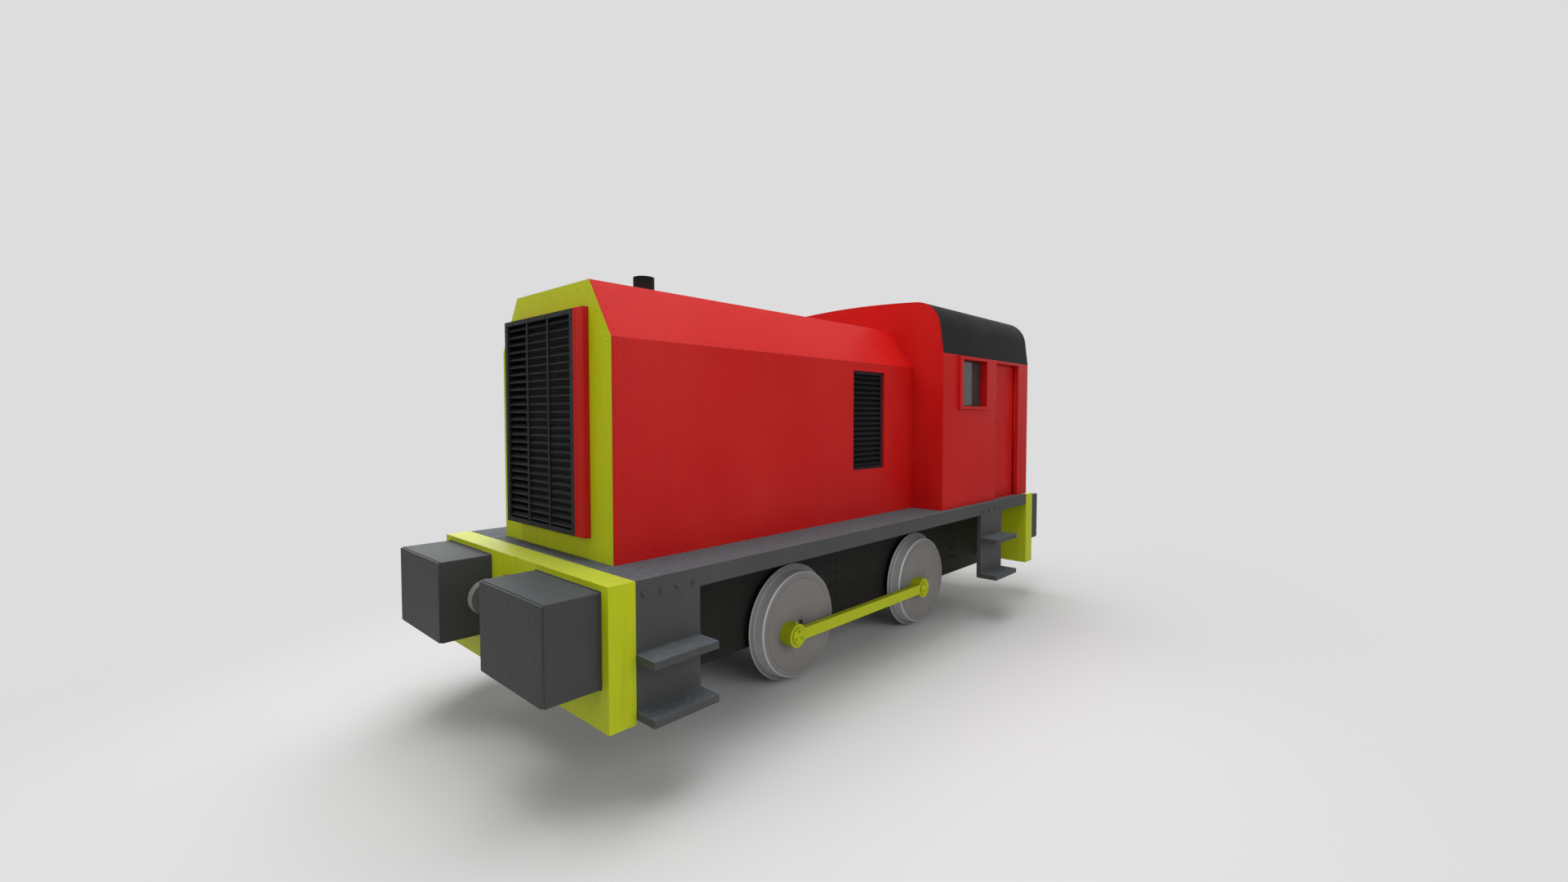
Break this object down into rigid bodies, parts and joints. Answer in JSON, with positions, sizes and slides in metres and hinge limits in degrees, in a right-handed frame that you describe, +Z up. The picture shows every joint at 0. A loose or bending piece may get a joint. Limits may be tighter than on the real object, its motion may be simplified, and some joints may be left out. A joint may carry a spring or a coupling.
{
  "type": "shunting locomotive",
  "caption": "Short diesel shunting locomotive with a tall bonnet, rear cab, coupling rods on its wheels, block buffers and side steps, for moving wagons in yards and works sidings.",
  "frame": {"origin": "middle of the locomotive on the plane of the flange bottoms", "axes": "+X forward to the radiator, +Y to the locomotive's left, +Z up"},
  "size_m": [7.365, 2.994, 3.8028],
  "materials": {
    "frame_paint": "satin black paint",
    "casting_paint": "painted casting",
    "deck_paint": "satin grey paint",
    "beam_yellow": "satin paint",
    "rod_yellow": "satin paint",
    "forged_steel": "forged",
    "body_red": "satin paint",
    "black_paint": "satin paint",
    "glass": "tinted",
    "cab_fittings": "satin paint",
    "wheel_steel": "worn steel"
  },
  "bodies": {
    "chassis": {"frame_plates": "frame_paint", "frame_stretchers": "frame_paint", "axlebox_keeps": "frame_paint", "axleboxes": "casting_paint", "final_drive": "casting_paint", "engine_block": "casting_paint", "footplate": "deck_paint", "front_buffers": "deck_paint", "rear_buffers": "deck_paint", "front_steps_left": "deck_paint", "front_steps_right": "deck_paint", "rear_steps_left": "deck_paint", "rear_steps_right": "deck_paint", "front_buffer_beam": "beam_yellow", "rear_buffer_beam": "beam_yellow", "bonnet_front": "beam_yellow", "front_drawhook": "forged_steel", "rear_drawhook": "forged_steel", "bonnet_side_left": "body_red", "bonnet_side_right": "body_red", "bonnet_top": "body_red", "radiator_casing": "body_red", "cab_front": "body_red", "cab_rear": "body_red", "cab_side_left": "body_red", "cab_side_right": "body_red", "window_frames": "body_red", "bonnet_vent_left": "black_paint", "bonnet_vent_right": "black_paint", "exhaust_stack": "black_paint", "radiator_grille": "black_paint", "radiator_core": "black_paint", "cab_roof": "black_paint", "window_glass": "glass", "control_desk": "cab_fittings", "crew_bench": "cab_fittings"},
    "front_wheelset": {"front_axle": "wheel_steel", "front_wheels": "wheel_steel", "front_crankpins": "rod_yellow"},
    "rear_wheelset": {"rear_axle": "wheel_steel", "rear_wheels": "wheel_steel", "rear_crankpins": "rod_yellow"},
    "rod_left": {"coupling_rod_left": "rod_yellow"},
    "rod_right": {"coupling_rod_right": "rod_yellow"},
    "door_left": {"cab_door_left": "body_red"},
    "door_right": {"cab_door_right": "body_red"}
  },
  "joints": [
    {"name": "front_axle_spin", "type": "hinge", "parent": "chassis", "child": "front_wheelset", "pos_m": [0.963, 0, 0.545], "axis": [0, 1, 0], "continuous": true},
    {"name": "rear_axle_spin", "type": "hinge", "parent": "chassis", "child": "rear_wheelset", "pos_m": [-1.227, 0, 0.545], "axis": [0, 1, 0], "continuous": true},
    {"name": "rod_left_pivot", "type": "hinge", "parent": "front_wheelset", "child": "rod_left", "pos_m": [1.13352, 0.919, 0.50563], "axis": [0, 1, 0], "continuous": true},
    {"name": "rod_right_pivot", "type": "hinge", "parent": "front_wheelset", "child": "rod_right", "pos_m": [1.00237, -0.919, 0.71552], "axis": [0, 1, 0], "continuous": true},
    {"name": "door_left_hinge", "type": "hinge", "parent": "chassis", "child": "door_left", "pos_m": [-2.938, 1.106, 2.29], "axis": [0, 0, -1], "range_deg": [0, 85]},
    {"name": "door_right_hinge", "type": "hinge", "parent": "chassis", "child": "door_right", "pos_m": [-2.938, -1.106, 2.29], "axis": [0, 0, 1], "range_deg": [0, 85]}
  ],
  "couplings": [
    {"joint": "rear_axle_spin", "follows": "front_axle_spin", "ratio": 1},
    {"joint": "rod_left_pivot", "follows": "front_axle_spin", "ratio": -1},
    {"joint": "rod_right_pivot", "follows": "front_axle_spin", "ratio": -1}
  ]
}
